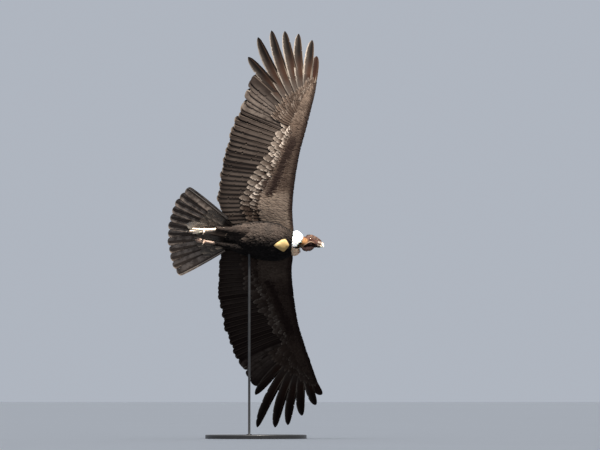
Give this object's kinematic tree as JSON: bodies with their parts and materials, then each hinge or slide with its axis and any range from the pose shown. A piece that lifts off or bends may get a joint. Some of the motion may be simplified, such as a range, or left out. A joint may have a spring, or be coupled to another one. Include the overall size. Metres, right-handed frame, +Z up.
{
  "type": "andean condor display model",
  "caption": "Life-size adult male Andean condor soaring with spread wings, fingered primaries and fanned tail, banked on a round display stand.",
  "frame": {"origin": "centre of the underside of the stand's round base, on the floor", "axes": "+X the way the bird flies, +Z up, +Y away from the side that shows its belly; its right wing is up and its left wing down"},
  "size_m": [1.1762, 1.1596, 3.0587],
  "materials": {
    "torso_feather": "soft black-brown contour feathers",
    "black_feather": "dark brown-black vanes with pale shafts, white panels on the upper side",
    "white_down": "soft white down",
    "head_skin": "bare wrinkled skin, grey-pink to brown",
    "neck_skin": "bare folded skin, orange to yellow",
    "bill_ivory": "ivory horn",
    "eye_brown": "wet brown",
    "leg_scales": "pale scaled skin",
    "claw_dark": "dark horn",
    "stand_wood": "satin black paint on wood",
    "stand_steel": "satin black paint on steel"
  },
  "bodies": {
    "root": {"torso": "torso_feather", "neck": "neck_skin", "ruff": "white_down", "head": "head_skin", "bill_upper": "bill_ivory", "bill_lower": "bill_ivory", "eye_L": "eye_brown", "eye_R": "eye_brown", "wing_arm_L": "black_feather", "wing_arm_R": "black_feather", "wing_hand_L": "black_feather", "wing_hand_R": "black_feather", "tail": "black_feather", "thigh_L": "torso_feather", "thigh_R": "torso_feather", "tarsus_L": "leg_scales", "tarsus_R": "leg_scales", "foot_L": "leg_scales", "foot_R": "leg_scales", "claw_L_1": "claw_dark", "claw_L_2": "claw_dark", "claw_L_3": "claw_dark", "claw_L_4": "claw_dark", "claw_R_1": "claw_dark", "claw_R_2": "claw_dark", "claw_R_3": "claw_dark", "claw_R_4": "claw_dark", "stand_base": "stand_wood", "stand_rod": "stand_steel"}
  },
  "joints": []
}
